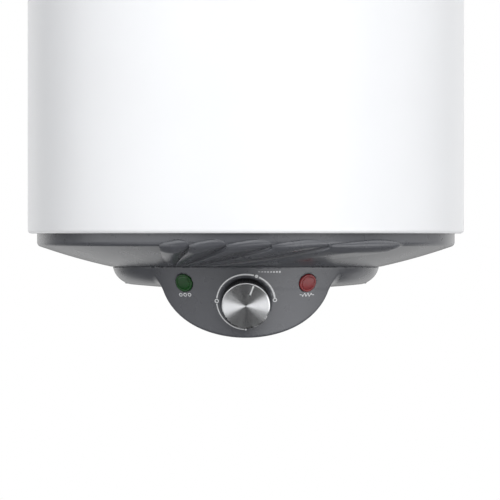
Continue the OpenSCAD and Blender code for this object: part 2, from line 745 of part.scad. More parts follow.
module panel_symbols() color([0.82, 0.82, 0.82]) printed() {
    on_panel(lamp_x - 0.8, -lamp_h - 12) translate([0, 0, -4]) linear_extrude(8) {
        zigzag(6, 11, 3.6, 0.7);
        for (s = [-1, 1]) translate([s * 7, 0]) square([2.6, 0.7], center = true);
    }
    on_panel(-lamp_x + 1.2, -lamp_h - 12) translate([0, 0, -4]) linear_extrude(8)
        for (x = [-5, 0, 5]) translate([x, 0]) difference() {
            circle(r = 1.9, $fn = 32);
            circle(r = 1.2, $fn = 32);
        }
    on_panel(23.6, -dish_h - 5.2) translate([0, 0, -4]) linear_extrude(8)
        for (i = [0:7]) translate([-10.5 + 3 * i, 0]) square([1.8, 0.6 + 0.22 * i], center = true);
}

// ---- pilot lamps --------------------------------------------------------------------------------

module lens(side) on_panel(side * lamp_x, -lamp_h) difference() {
    union() {
        translate([0, 0, -1.4]) cylinder(d = lens_d, h = 2.4, $fn = 64);
        translate([0, 0, 1]) cylinder(d1 = lens_d, d2 = lens_d - 2.4, h = 0.8, $fn = 64);
        translate([0, 0, -9]) cylinder(d = lens_d - 2.2, h = 8, $fn = 64);
    }
    translate([0, 0, -10]) cylinder(d = lens_d - 6, h = 9.5, $fn = 64);
}
module green_lens() color([0.07, 0.36, 0.12]) lens(-1);
module red_lens() color([0.72, 0.16, 0.17]) lens(1);

module lamp_holders() color([0.92, 0.91, 0.88]) for (side = [-1, 1])
    on_panel(side * lamp_x, -lamp_h) translate([0, 0, -24]) difference() {
        cylinder(d = lens_d - 2.2, h = 14.8, $fn = 48);
        translate([0, 0, 6]) cylinder(d = lens_d - 6, h = 10, $fn = 48);
    }

module lamp_bulbs() color([0.95, 0.75, 0.55]) for (side = [-1, 1])
    on_panel(side * lamp_x, -lamp_h) translate([0, 0, -17.8]) {
        cylinder(r = 3, h = 12, $fn = 32);
        translate([0, 0, 12]) sphere(r = 3, $fn = 32);
    }

module lamp_clips() color(zinc) for (side = [-1, 1])
    on_panel(side * lamp_x, -lamp_h) translate([0, 0, -7.6])
        pipe(lens_d / 2 + 1.6, lens_d / 2 - 1, 0.8);

// ---- electrical parts above the cover ---------------------------------------------------------

shelf_z = -15;
shelf_t = 1.5;
shelf_x = 92;
shelf_front = -98;
shelf_back = -70;
ledge_top = -dish_h + skin;
module component_bracket() color(zinc) difference() {
    union() {
        translate([-shelf_x, shelf_front, shelf_z]) cube([2 * shelf_x, shelf_back - shelf_front, shelf_t]);
        for (s = [-1, 1]) translate([s * shelf_x - (s > 0 ? shelf_t : 0), -92, ledge_top])
            cube([shelf_t, 22, shelf_z - ledge_top + shelf_t]);
        for (s = [-1, 1]) translate([s > 0 ? 79 : -shelf_x, -92, ledge_top]) cube([13, 22, shelf_t]);
    }
    for (s = [-1, 1]) translate([s * foot_x, foot_y, -dish_h]) cylinder(r = 2.1, h = 10, $fn = 24);
    translate([cutout_x, cutout_y, shelf_z - 5]) cylinder(r = 9, h = 10, $fn = 48);
}

module bracket_screws() color(zinc) for (s = [-1, 1])
    translate([s * foot_x, foot_y, ledge_top + shelf_t]) rotate([180, 0, 0])
        pan_screw(4, 3.5, 8, 2.6);

block_x = -62;
block_y = -93;
block_pitch = 12;
module terminal_block() color([0.93, 0.93, 0.91])
    translate([block_x, block_y, shelf_z - 13.1]) difference() {
        cube([40, 16, 13]);
        for (i = [0:2]) translate([8 + block_pitch * i, -1, 6.5]) rotate([-90, 0, 0])
            cylinder(r = 2.6, h = 20, $fn = 32);
        for (i = [0:2]) translate([8 + block_pitch * i, 8, -1]) cylinder(r = 2.2, h = 5, $fn = 24);
    }

module terminal_screws() color([0.80, 0.70, 0.35]) for (i = [0:2])
    translate([block_x + 8 + block_pitch * i, block_y + 8, shelf_z - 12.5])
        cylinder(r = 2, h = 3.4, $fn = 24);

cutout_x = 45;
cutout_y = -85;
tab_z = shelf_z + shelf_t + 8;
module safety_cutout() color([0.20, 0.20, 0.22]) translate([cutout_x, cutout_y, 0]) difference() {
    union() {
        translate([0, 0, shelf_z + shelf_t + 0.1]) cylinder(r = 15, h = 12);
        translate([0, 0, shelf_z - 3.5]) cylinder(r = 8.8, h = 6);
        for (x = [-8, 8]) translate([x - 3.1, 10, tab_z]) cube([6.2, 10, 0.8]);
    }
    translate([0, 0, shelf_z - 4]) cylinder(r = 3.5, h = 12, $fn = 40);
}

module reset_button() color([0.80, 0.10, 0.10])
    translate([cutout_x, cutout_y, shelf_z - 7]) cylinder(r = 3.4, h = 9, $fn = 40);

// ---- wires and capillary tubes, along points inside the covers -----------------------------------

block_z = shelf_z - 6.6;
blade_z = plate_low - 20.4;
live_route = [
    [-54, -88, block_z], [-54, -97, block_z], [-50, -98, -28], [-44, -92, -40], [-32, -80, -54],
    [-16, -76, -64], [-8, -82, -67.3], [-8, -91.7, -70.6]
];
neutral_route = [
    [-42, -82, block_z], [-42, -72, block_z], [-40, -58, -24], [-30, -40, -28], [-20, -24, -30],
    [-element_x, element_y, blade_z]
];
earth_route = [
    [-30, -82, block_z], [-30, -72, block_z], [-24, -54, -28], [0, -38, -36], [26, -20, -36],
    [34, 0, -24], [32, 10, -12], [earth_x, earth_y, plate_low - 3.4]
];
switched_route = [
    [8, -91.7, -70.6], [8, -82, -67.3], [18, -74, -58], [28, -66, -40], [36, -60, -22],
    [38, -56, -8], [37, -59, -5], [37, -64.7, tab_z + 0.4]
];
heater_route = [
    [53, -64.7, tab_z + 0.4], [53, -57, -6], [46, -46, -12], [32, -32, -22], [20, -23, -29],
    [element_x, element_y, blade_z]
];
lamp_route = [
    [-51.2, -93.9, -41.9], [-48, -88, -40], [-36, -76, -40], [0, -66, -44], [36, -76, -40],
    [48, -88, -40], [51.2, -93.9, -41.9]
];
thermostat_route = [
    [-24.4, 8, -13.8], [-24.4, 5, -24], [-26, -20, -42], [-22, -50, -50], [-10, -72, -50],
    [-4, -95.4, -53.2], [-4, -105, -56.6]
];
cutout_route = [
    [-19.6, 8, -13.8], [-19.6, 4, -26], [-6, -20, -48], [10, -50, -44], [20, -64, -24],
    [26, -68, -12], [33.9, -73.9, -8]
];
module live_wire() color([0.45, 0.24, 0.12]) wire(live_route);
module neutral_wire() color([0.12, 0.30, 0.70]) wire(neutral_route);
module earth_wire() color([0.45, 0.65, 0.15]) wire(earth_route);
module heater_wires() color(black) {
    wire(switched_route);
    wire(heater_route);
}
module lamp_wires() color([0.85, 0.85, 0.82]) wire(lamp_route, 0.9);
module capillary_tubes() color(copper) {
    wire(thermostat_route, 0.8);
    wire(cutout_route, 0.8);
}

module earth_screw() color([0.80, 0.70, 0.35]) translate([earth_x, earth_y, 0]) {
    translate([0, 0, plate_low - 3]) cylinder(r = 4, h = 3, $fn = 32);
    translate([0, 0, plate_low - 3]) cylinder(r = 2, h = 6.9, $fn = 24);
}

// ---- cable gland and the remaining screws ----------------------------------------------------

module cable_gland() color(black) translate([0, gland_y, 0]) difference() {
    union() {
        translate([0, 0, cover_floor(gland_y) - 12]) cylinder(r = 11, h = 11, $fn = 64);
        translate([0, 0, cover_floor(gland_y) - 2]) cylinder(r = 7.9, h = 18, $fn = 64);
    }
    translate([0, 0, -100]) cylinder(r = gland_r, h = 100, $fn = 48);
}

module gland_nut() color(black) translate([0, gland_y, cover_floor(gland_y) + skin + 1.6])
    hex_nut(22, 7.95, 5);

module cover_screws() color(zinc) for (a = cover_screw_angles)
    round_axis(a, cover_screw_r, -46.02) pan_screw(4, 18, 7.4, 2.6);

place() outer_jacket();
place() top_cover();
place() bottom_dish();
place() control_cover();
place() foam_insulation();
place() inner_tank();
place() wall_bracket_upper();
place() wall_bracket_lower();
place() flange_ring();
place() flange_studs();
place() flange_gasket();
place() flange_plate();
place() flange_nuts();
place() heating_element();
place() element_terminals();
place() anode_rod();
place() anode_stud();
place() sensor_pocket();
place() sensor_bulbs();
place() capillary_tubes();
place() cold_inlet_pipe();
place() hot_outlet_pipe();
place() inlet_diffuser();
place() outlet_riser();
place() cold_collar();
place() hot_collar();
place() pipe_sockets();
place() component_bracket();
place() bracket_screws();
place() terminal_block();
place() terminal_screws();
place() safety_cutout();
place() reset_button();
place() thermostat_body();
place() thermostat_screws();
place() thermostat_shaft();
place() knob_body();
place() knob_cap();
place() knob_pointer();
place() knob_clip();
place() dial_scale();
place() panel_symbols();
place() green_lens();
place() red_lens();
place() lamp_holders();
place() lamp_bulbs();
place() lamp_clips();
place() live_wire();
place() neutral_wire();
place() earth_wire();
place() heater_wires();
place() lamp_wires();
place() cable_gland();
place() gland_nut();
place() cover_screws();
place() earth_screw();
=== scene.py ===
import math

import bmesh
import bpy
import numpy as np
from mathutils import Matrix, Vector


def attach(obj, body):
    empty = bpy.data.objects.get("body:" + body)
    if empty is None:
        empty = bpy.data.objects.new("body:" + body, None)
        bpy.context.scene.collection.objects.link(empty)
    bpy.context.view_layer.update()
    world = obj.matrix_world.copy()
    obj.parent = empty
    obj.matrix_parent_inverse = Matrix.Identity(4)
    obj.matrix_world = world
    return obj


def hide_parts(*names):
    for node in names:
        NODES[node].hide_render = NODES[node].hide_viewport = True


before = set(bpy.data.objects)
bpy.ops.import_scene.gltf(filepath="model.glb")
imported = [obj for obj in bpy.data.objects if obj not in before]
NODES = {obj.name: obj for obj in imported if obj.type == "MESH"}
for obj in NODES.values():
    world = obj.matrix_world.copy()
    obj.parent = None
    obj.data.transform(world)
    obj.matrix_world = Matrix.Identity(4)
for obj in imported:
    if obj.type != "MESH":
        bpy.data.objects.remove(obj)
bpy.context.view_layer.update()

# ---- the heater's own dimensions, in millimetres, about the tank's axis ---------------
# z is 0 at the jacket's lower edge and the front faces -Y.
JACKET_R, JACKET_H, EDGE_R = 222.5, 680.0, 4.0
AXIS_BACK, SLOT_H = 236.5, (590.0, 120.0)
BAND_R, BAND_H, BAND_CORNER = 213.0, 13.0, 5.0
DISH_H, COVER_R = 33.7, 136.0
DRAFT = math.radians(19)
DIAL_H, KNOB_R, KNOB_RISE, POINTER = 69.3, 24.5, 12.8, 20.0
LENS_R, LAMP_X, LAMP_H = 9.2, 62.5, 50.0
SCALE_R = 29.4
RELIEF = 6.0


def to_row(p):
    """Points in the heater's millimetres as rows in the frame's metres."""
    p = np.asarray(p, float).reshape(-1, 3)
    return (p + [0, -AXIS_BACK, -SLOT_H[0]]) / 1000


def cone_r(z):
    """Radius of the control cover's drafted wall at height z."""
    return COVER_R + (z + DISH_H) * math.tan(DRAFT)


# ---- mesh helpers --------------------------------------------------------------------


def add_piece(name, verts, faces, mat, node, body="heater", sharp=35):
    """A new mesh piece from points in millimetres, riding on a body and standing for a CAD node."""
    me = bpy.data.meshes.new(name)
    me.from_pydata(to_row(verts).tolist(), [], [tuple(int(i) for i in f) for f in faces])
    me.validate()
    bm = bmesh.new()
    bm.from_mesh(me)
    bmesh.ops.recalc_face_normals(bm, faces=bm.faces)
    bm.to_mesh(me)
    bm.free()
    me.polygons.foreach_set("use_smooth", [True] * len(me.polygons))
    me.set_sharp_from_angle(angle=math.radians(sharp))
    me.materials.append(mat)
    ob = bpy.data.objects.new(name, me)
    bpy.context.scene.collection.objects.link(ob)
    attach(ob, body)
    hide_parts(node)
    return ob


def grid_faces(n, m, closed_n, closed_m, skip=None):
    """Quads over an n by m grid of points, numbered row by row."""
    faces = []
    for i in range(n if closed_n else n - 1):
        for j in range(m if closed_m else m - 1):
            if skip is not None and skip(i, j):
                continue
            i2, j2 = (i + 1) % n, (j + 1) % m
            faces.append((i * m + j, i * m + j2, i2 * m + j2, i2 * m + j))
    return faces


def revolve(profile, angles):
    """Grid points of a profile of (r, z) turned round the tank's axis, one row an angle."""
    pr = np.asarray(profile, float)
    a = np.radians(np.asarray(angles, float))[:, None]
    x, y = pr[None, :, 0] * np.sin(a), -pr[None, :, 0] * np.cos(a)
    z = np.broadcast_to(pr[None, :, 1], x.shape)
    return np.stack([x, y, z], -1).reshape(-1, 3)


def arc(cx, cz, r, a, b, n):
    """n profile points on an arc about (cx, cz), from angle a to b in degrees."""
    t = np.radians(np.linspace(a, b, n))
    return [(cx + r * math.cos(v), cz + r * math.sin(v)) for v in t]


def turn_full(n):
    """n angles in degrees, evenly round a full turn."""
    return np.linspace(0, 360, n, endpoint=False)


# ---- the panel's frames --------------------------------------------------------------


def panel_frame(x, z, turn=0.0):
    """Origin and axes (right, up, out) on the drafted wall at height z; turn is clockwise."""
    r = cone_r(z)
    a = math.asin(x / r)
    o = np.array([r * math.sin(a), -r * math.cos(a), z])
    right = np.array([math.cos(a), math.sin(a), 0.0])
    out = np.array([math.sin(a) * math.cos(DRAFT), -math.cos(a) * math.cos(DRAFT), -math.sin(DRAFT)])
    up = np.cross(out, right)
    t = math.radians(turn)
    right, up = right * math.cos(t) - up * math.sin(t), right * math.sin(t) + up * math.cos(t)
    return o, right, up, out


def in_panel(local, f):
    """Points given in a panel frame, in the heater's own millimetres."""
    o, right, up, out = f
    p = np.asarray(local, float).reshape(-1, 3)
    return o + p[:, :1] * right + p[:, 1:2] * up + p[:, 2:] * out


def lathe(profile, f, n, ripple=None):
    """Grid of a closed (r, h) profile turned about a panel frame's outward axis."""
    pr = np.asarray(profile, float)
    a = np.radians(turn_full(n))[:, None]
    r = np.broadcast_to(pr[None, :, 0], (n, len(pr))).copy()
    if ripple is not None:
        r = r + ripple(np.degrees(a), pr[None, :, 0], pr[None, :, 1])
    x, y = r * np.cos(a), r * np.sin(a)
    h = np.broadcast_to(pr[None, :, 1], x.shape)
    return in_panel(np.stack([x, y, h], -1).reshape(-1, 3), f)


# ---- materials -----------------------------------------------------------------------


def material(name, base, rough, metallic=0.0, vary=0.06, scale=40.0, rough_vary=0.06,
             bump=0.0, bump_scale=400.0, coat=0.0, specular=0.5, transmission=0.0, voronoi=False):
    """A painted, moulded or metal surface: its colour, roughness and relief vary with noise."""
    m = bpy.data.materials.new(name)
    m.use_nodes = True
    nt = m.node_tree
    bs = nt.nodes["Principled BSDF"]
    bs.inputs["Metallic"].default_value = metallic
    bs.inputs["Specular IOR Level"].default_value = specular
    bs.inputs["Coat Weight"].default_value = coat
    bs.inputs["Coat Roughness"].default_value = 0.1
    bs.inputs["Transmission Weight"].default_value = transmission
    co = nt.nodes.new("ShaderNodeTexCoord")
    if voronoi:
        tex = nt.nodes.new("ShaderNodeTexVoronoi")
        out = tex.outputs["Distance"]
    else:
        tex = nt.nodes.new("ShaderNodeTexNoise")
        tex.inputs["Detail"].default_value = 4
        out = tex.outputs["Fac"]
    tex.inputs["Scale"].default_value = scale
    nt.links.new(co.outputs["Object"], tex.inputs["Vector"])
    ramp = nt.nodes.new("ShaderNodeValToRGB")
    ramp.color_ramp.elements[0].position, ramp.color_ramp.elements[1].position = 0.3, 0.7
    for e, k in zip(ramp.color_ramp.elements, (1 - vary, 1 + vary)):
        e.color = (*[min(1, c * k) for c in base], 1)
    nt.links.new(out, ramp.inputs["Fac"])
    nt.links.new(ramp.outputs["Color"], bs.inputs["Base Color"])
    mr = nt.nodes.new("ShaderNodeMapRange")
    mr.inputs["To Min"].default_value = max(0.02, rough - rough_vary)
    mr.inputs["To Max"].default_value = rough + rough_vary
    nt.links.new(out, mr.inputs["Value"])
    nt.links.new(mr.outputs["Result"], bs.inputs["Roughness"])
    if bump:
        fine = nt.nodes.new("ShaderNodeTexNoise")
        fine.inputs["Scale"].default_value = bump_scale
        fine.inputs["Detail"].default_value = 3
        nt.links.new(co.outputs["Object"], fine.inputs["Vector"])
        bn = nt.nodes.new("ShaderNodeBump")
        bn.inputs["Strength"].default_value = bump
        bn.inputs["Distance"].default_value = 0.0003
        nt.links.new(fine.outputs["Fac"], bn.inputs["Height"])
        nt.links.new(bn.outputs["Normal"], bs.inputs["Normal"])
    return m


WHITE = material("white_enamel", (0.80, 0.81, 0.83), 0.32, vary=0.008, scale=14, rough_vary=0.03,
                 bump=0.03, bump_scale=260)
GRAPHITE = material("graphite_plastic", (0.074, 0.077, 0.087), 0.28, vary=0.04, scale=60,
                    rough_vary=0.03, bump=0.015, bump_scale=500)
ZINC = material("zinc_plated_steel", (0.60, 0.62, 0.64), 0.34, metallic=1, vary=0.12, scale=180,
                rough_vary=0.1, voronoi=True)
BLACK = material("black_plastic", (0.012, 0.012, 0.013), 0.42, vary=0.2, scale=90, bump=0.12,
                 bump_scale=1500)
IVORY = material("ivory_plastic", (0.72, 0.70, 0.62), 0.45, vary=0.04, scale=70, bump=0.08)
FOAM = material("rigid_foam", (0.80, 0.70, 0.42), 0.85, vary=0.12, scale=220, bump=0.8,
                bump_scale=600, voronoi=True)
ENAMEL = material("blue_enamel", (0.03, 0.07, 0.16), 0.22, vary=0.2, scale=90, bump=0.15,
                  bump_scale=240, coat=0.5)
RUBBER = material("red_rubber", (0.42, 0.05, 0.03), 0.62, vary=0.12, scale=120, bump=0.2)
COPPER = material("drawn_copper", (0.78, 0.40, 0.24), 0.3, metallic=1, vary=0.12, scale=60,
                  rough_vary=0.1)
BRASS = material("turned_brass", (0.72, 0.55, 0.22), 0.3, metallic=1, vary=0.08, scale=60)
MAGNESIUM = material("cast_magnesium", (0.48, 0.49, 0.50), 0.55, metallic=1, vary=0.1, scale=90,
                     bump=0.3, bump_scale=300)
BLUE = material("blue_plastic", (0.02, 0.09, 0.42), 0.35, vary=0.06, scale=80, bump=0.08)
RED = material("red_plastic", (0.50, 0.02, 0.015), 0.35, vary=0.06, scale=80, bump=0.08)
INK = material("printed_ink", (0.66, 0.67, 0.68), 0.5, vary=0.05, scale=500, specular=0.3)
BULB = material("neon_glass", (0.90, 0.55, 0.32), 0.08, vary=0.05, scale=60, transmission=0.8)
SLEEVES = {
    "live_wire": material("brown_sleeve", (0.12, 0.045, 0.015), 0.5, vary=0.08, bump=0.05),
    "neutral_wire": material("blue_sleeve", (0.02, 0.08, 0.38), 0.5, vary=0.08, bump=0.05),
    "earth_wire": material("green_sleeve", (0.14, 0.36, 0.03), 0.5, vary=0.2, bump=0.05),
    "heater_wires": material("black_sleeve", (0.015, 0.015, 0.016), 0.5, vary=0.1, bump=0.05),
    "lamp_wires": material("white_sleeve", (0.62, 0.62, 0.58), 0.5, vary=0.05, bump=0.05),
}


def lens_material(name, base):
    """Tinted, slightly cloudy plastic."""
    m = material(name, base, 0.24, vary=0.10, scale=300, rough_vary=0.04, bump=0.2,
                 bump_scale=900, specular=0.3)
    bs = m.node_tree.nodes["Principled BSDF"]
    bs.inputs["Subsurface Weight"].default_value = 0.1
    bs.inputs["Subsurface Scale"].default_value = 0.002
    return m


GREEN_LENS = lens_material("green_lens", (0.006, 0.048, 0.008))
RED_LENS = lens_material("red_lens", (0.19, 0.021, 0.024))


def spun_metal():
    """Aluminium spun on a lathe: the grooves run round the knob's axis."""
    m = bpy.data.materials.new("spun_aluminium")
    m.use_nodes = True
    nt = m.node_tree
    bs = nt.nodes["Principled BSDF"]
    bs.inputs["Metallic"].default_value = 1
    bs.inputs["Base Color"].default_value = (0.43, 0.435, 0.445, 1)
    bs.inputs["Anisotropic"].default_value = 0.98
    bs.inputs["Anisotropic Rotation"].default_value = 0.25
    uv = nt.nodes.new("ShaderNodeUVMap")
    uv.uv_map = "spin"
    tan = nt.nodes.new("ShaderNodeTangent")
    tan.direction_type = "UV_MAP"
    tan.uv_map = "spin"
    nt.links.new(tan.outputs["Tangent"], bs.inputs["Tangent"])
    sep = nt.nodes.new("ShaderNodeSeparateXYZ")
    nt.links.new(uv.outputs["UV"], sep.inputs["Vector"])
    com = nt.nodes.new("ShaderNodeCombineXYZ")
    nt.links.new(sep.outputs["Y"], com.inputs["X"])
    ns = nt.nodes.new("ShaderNodeTexNoise")
    ns.inputs["Scale"].default_value = 60
    ns.inputs["Detail"].default_value = 4
    nt.links.new(com.outputs["Vector"], ns.inputs["Vector"])
    mr = nt.nodes.new("ShaderNodeMapRange")
    mr.inputs["To Min"].default_value = 0.19
    mr.inputs["To Max"].default_value = 0.27
    nt.links.new(ns.outputs["Fac"], mr.inputs["Value"])
    nt.links.new(mr.outputs["Result"], bs.inputs["Roughness"])
    return m


SPUN = spun_metal()

# ---- jacket and top cover --------------------------------------------------------------

# The wall brackets' webs pass through four upright slots in the jacket's back.
web_x, web_half, slot_half = 122.0, 1.8, 22.3
slot_edges = [180 - math.degrees(math.asin((web_x + s * web_half) / JACKET_R)) for s in (-1, 1)]
slot_edges += [360 - a for a in slot_edges]
seam = [176.9, 177.2, 178.9, 179.0]
turns = sorted(set(np.round(np.concatenate([
    [a for a in turn_full(300) if min(abs(a - e) for e in slot_edges) > 0.35 and abs(a - 178) > 1.6],
    slot_edges, seam]), 4)))
rows = sorted({JACKET_H, EDGE_R} | {z + s * slot_half for z in SLOT_H for s in (-1, 1)}
              | set(np.linspace(EDGE_R, JACKET_H, 24)), reverse=True)
profile = [(JACKET_R, z) for z in rows] + arc(JACKET_R - EDGE_R, EDGE_R, EDGE_R, -10, -90, 9)
profile += [(BAND_R + 1.0, 0.0)]
SEAM_PROUD = 0.7
pts = revolve(profile, turns).reshape(len(turns), len(profile), 3)
for i, a in enumerate(turns):  # the sheet's ends overlap at the back in one folded seam
    if 177.1 < a < 178.95:
        pts[i, 1:len(rows) - 1, :2] *= (JACKET_R + SEAM_PROUD) / JACKET_R


def in_slot(i, j):
    """Whether quad i, j of the jacket lies in a bracket's slot."""
    a, z = (turns[i] + turns[(i + 1) % len(turns)]) / 2, (profile[j][1] + profile[j + 1][1]) / 2
    if j >= len(rows) - 1 or not 90 < a < 270:
        return False
    x = abs(JACKET_R * math.sin(math.radians(a)))
    return abs(x - web_x) < web_half and any(abs(z - s) < slot_half for s in SLOT_H)


SHEET_M = 0.001  # the jacket's steel, in metres
jacket = add_piece("jacket", pts.reshape(-1, 3), grid_faces(len(turns), len(profile), True, False, in_slot),
                   WHITE, "outer_jacket", sharp=40)
sheet = jacket.modifiers.new("sheet", "SOLIDIFY")
sheet.thickness, sheet.offset = SHEET_M, -1

crown, BEND, TOP_SHEET = JACKET_H + 14, 12, 1.2
flat_r = JACKET_R - BEND
shoulder = [(flat_r + BEND * math.cos(t), crown - 14 + BEND * math.sin(t))
            for t in np.radians(np.linspace(0, 80, 16))]
bow = [(flat_r - flat_r * t, crown - 2.2 + 2.2 * (1 - (1 - t) ** 2)) for t in np.linspace(0.04, 1, 14)]
top = [(JACKET_R - 1.3, JACKET_H - 12), (JACKET_R - 1.3, JACKET_H + 0.2), (JACKET_R, JACKET_H + 0.3)]
top += shoulder + bow[:-1] + [(0.4, crown), (0.4, crown - TOP_SHEET)]
top += [(r - TOP_SHEET, z - 2.2) for r, z in reversed(bow[:-1]) if r > 4]
top += [(flat_r - 2.5 + BEND * math.cos(t), crown - 16 + 11.5 * math.sin(t))
        for t in np.radians(np.linspace(75, 0, 10))]
top += [(JACKET_R - 2.5, JACKET_H - 12)]
add_piece("top_shell", revolve(top, turn_full(300)), grid_faces(300, len(top), True, True), WHITE,
          "top_cover", sharp=38)

# ---- bottom dish with its fan relief -----------------------------------------------------

dome_r, dome_rise, skin = COVER_R + 1.5, 1.1, 2.5
corner_c = np.array([BAND_R - BAND_CORNER, -BAND_H + BAND_CORNER - 0.6])
CORNER_TURN = 78  # degrees that the corner between dome and band turns through
turn = math.radians(-CORNER_TURN)
low = np.array([dome_r, -DISH_H])
high = corner_c + BAND_CORNER * np.array([math.cos(turn), math.sin(turn)])
dome_l = float(np.linalg.norm(high - low))
corner_l = BAND_CORNER * math.radians(CORNER_TURN)
lip_z = 1.2
face_l = dome_l + corner_l + lip_z - corner_c[1]
FAN_ROOT = -33.0
FAN_ENDS = (-24.3, -15.6, -5.4, 6.9, 23.3, 47.5)
FAN_SWEEP = (1.0, 0.8, 0.66, 0.56, 0.48, 0.42)


def face_at(l):
    """Radius, height and facing angle of the dish's plain outer face at l along it."""
    l = np.asarray(l, float)
    t = np.clip(l / dome_l, 0, 1)
    d = high - low
    r, z = low[0] + d[0] * t, low[1] + d[1] * t
    bulge = 4 * dome_rise * t * (1 - t)
    r, z = r + d[1] / dome_l * bulge, z - d[0] / dome_l * bulge
    a = np.radians(-CORNER_TURN + CORNER_TURN * np.clip((l - dome_l) / corner_l, 0, 1))
    r = np.where(l > dome_l, corner_c[0] + BAND_CORNER * np.cos(a), r)
    z = np.where(l > dome_l, corner_c[1] + BAND_CORNER * np.sin(a), z)
    z = np.where(l > dome_l + corner_l, corner_c[1] + l - dome_l - corner_l, z)
    face = np.radians(16 + 74 * np.clip((l - dome_l + 6) / (corner_l + 6), 0, 1))
    return r, z, face


def valley(i, l):
    """Angle of the line where fingers i - 1 and i meet, at l along the face."""
    s = 0.05 + 0.95 * np.clip(np.asarray(l, float) / dome_l, 0, 1)
    return FAN_ROOT + (FAN_ENDS[i] - FAN_ROOT) * s ** FAN_SWEEP[i]


# Height of a finger at each share of its width: the first is a ridge, and the others stand
# up sharply at their upper edge, with a crest a little below it.
RIDGE = ((0, 0), (0.03, 0.66), (0.46, 1), (0.8, 0.55), (1, 0))
LEAF = ((0, 0), (0.015, 0.74), (0.05, 0.87), (0.2, 1), (0.35, 0.87), (0.6, 0.5), (1, 0))
LAST = ((0, 0), (0.015, 0.6), (0.07, 0.74), (0.32, 1), (0.46, 0.93), (0.88, 0.78), (0.96, 0.56), (1, 0))
SHAPES = (RIDGE, LEAF, LEAF, LEAF, LAST)


def smooth_through(points, q):
    """A curve through the points that overshoots none of them."""
    x, y = np.array(points, float).T
    h, d = np.diff(x), np.diff(y) / np.diff(x)
    m = np.concatenate([[d[0]], np.zeros(len(x) - 2), [d[-1]]])
    same = d[:-1] * d[1:] > 0
    m[1:-1][same] = 2 / (1 / d[:-1][same] + 1 / d[1:][same])
    k = int(np.clip(np.searchsorted(x, q) - 1, 0, len(h) - 1))
    t = (q - x[k]) / h[k]
    return float((1 + 2 * t) * (1 - t) ** 2 * y[k] + t * (1 - t) ** 2 * h[k] * m[k]
                 + t * t * (3 - 2 * t) * y[k + 1] + t * t * (t - 1) * h[k] * m[k + 1])


def finger_rise(i, q, l):
    """How far finger i stands off the plain face at share q of its width."""
    s = np.clip(l / dome_l, 0, 1)
    fade = 1 - 0.7 * np.clip((l - dome_l + 4) / (corner_l + 6), 0, 1)
    return RELIEF * smooth_through(SHAPES[i], q) * s ** 0.8 * fade


TIP = 0.4  # length of the sharp step at a finger's tip
DISH_HOLE_R, LIP = 112.0, 5.5


def tip(q):
    """Where along the face a finger ends, at share q of its width."""
    return dome_l + 4 + (corner_l - 2) * np.sin(np.pi * q ** 1.6) ** 0.7


def dish_column(angle_of, i=0, q=None):
    """One column of the dish's section: outer face, lip, and back along the inner face."""
    end = float(tip(q)) if q is not None else dome_l + 4
    ls = np.concatenate([
        np.linspace(0, dome_l - 1, 56), np.linspace(dome_l - 1, end, 20)[1:],
        np.linspace(end, end + TIP, 5)[1:], np.linspace(end + TIP, face_l, 12)[1:]])
    r, z, f = face_at(ls)
    if q is not None:
        step = np.clip((end + TIP - ls) / TIP, 0, 1)
        soft = np.clip((ls - end + 3) / 3, 0, 1)
        rise = finger_rise(i, q, ls) * step * (1 - 0.25 * soft * soft)
        r, z = r + rise * np.sin(f), z - rise * np.cos(f)
    a = angle_of(ls)
    li = np.linspace(dome_l - 3, 0, 14)
    ri, zi, fi = face_at(li)
    if q is not None:
        rise = finger_rise(i, q, li)
        ri, zi = ri + rise * np.sin(fi), zi - rise * np.cos(fi)
    r = np.concatenate([[DISH_HOLE_R], r, [BAND_R + LIP] * 2, [BAND_R - skin] * 2, ri, [DISH_HOLE_R]])
    z = np.concatenate([[-DISH_H], z, [lip_z, lip_z + 2, lip_z + 2, corner_c[1] + 1], zi + skin,
                        [-DISH_H + skin]])
    a = np.radians(np.concatenate([a[:1], a, [a[-1]] * 4, angle_of(li), a[:1]]))
    return np.stack([r * np.sin(a), -r * np.cos(a), z], -1)


PLAIN = 200
shares = np.concatenate([[0, 0.005, 0.01], np.linspace(0.015, 0.2, 16), np.linspace(0.2, 0.94, 30)[1:],
                         np.linspace(0.94, 1, 8)[1:-1]])
columns = [dish_column(lambda l: valley(i, l) * (1 - q) + valley(i + 1, l) * q, i, q)
           for i in range(len(SHAPES)) for q in shares]
columns += [dish_column(lambda l: valley(5, l) * (1 - t) + (valley(0, l) + 360) * t)
            for t in np.arange(PLAIN) / PLAIN]
columns = np.array(columns)
add_piece("dish", columns.reshape(-1, 3), grid_faces(len(columns), columns.shape[1], True, True),
          GRAPHITE, "bottom_dish", sharp=50)

# ---- control cover, from a distance field ---------------------------------------------------

KNOB = panel_frame(0, -DIAL_H)
LAMPS = [panel_frame(s * LAMP_X, -LAMP_H) for s in (-1, 1)]
SCREW_ANGLES, SCREW_R = (90, 180, 270), 117.0
PIPE_Y, PIPE_X, GLAND_Y = 68.0, 50.0, 95.0
WALL = 2.6
DRUM_LOW, DRUM_BOW, DRUM_EDGE = -57.5, 2400, 12.5
EGG_HALF_W, EGG_R, EGG_Y, EGG_Z = 86.5, 61.2, -103, -44.5
TONGUE_EDGE, FILLET, RIM_GAP = 1.4, 11.0, 0.03
WELL_R, WELL_DEEP, SHAFT_HOLE_R = 25.6, 3.2, 4
LENS_GAP, LENS_SINK, LAMP_HOLE_R = 0.35, 1.6, 8.4
POST_R, POST_LOW, SCREW_HOLE_R, HEAD_R, HEAD_TOP = 6.0, -51, 2.1, 4, -46
PIPE_HOLE_R, GLAND_HOLE_R = 12.8, 8.1
PITCH = 1.25  # of the grid that the cover's mesh is drawn from


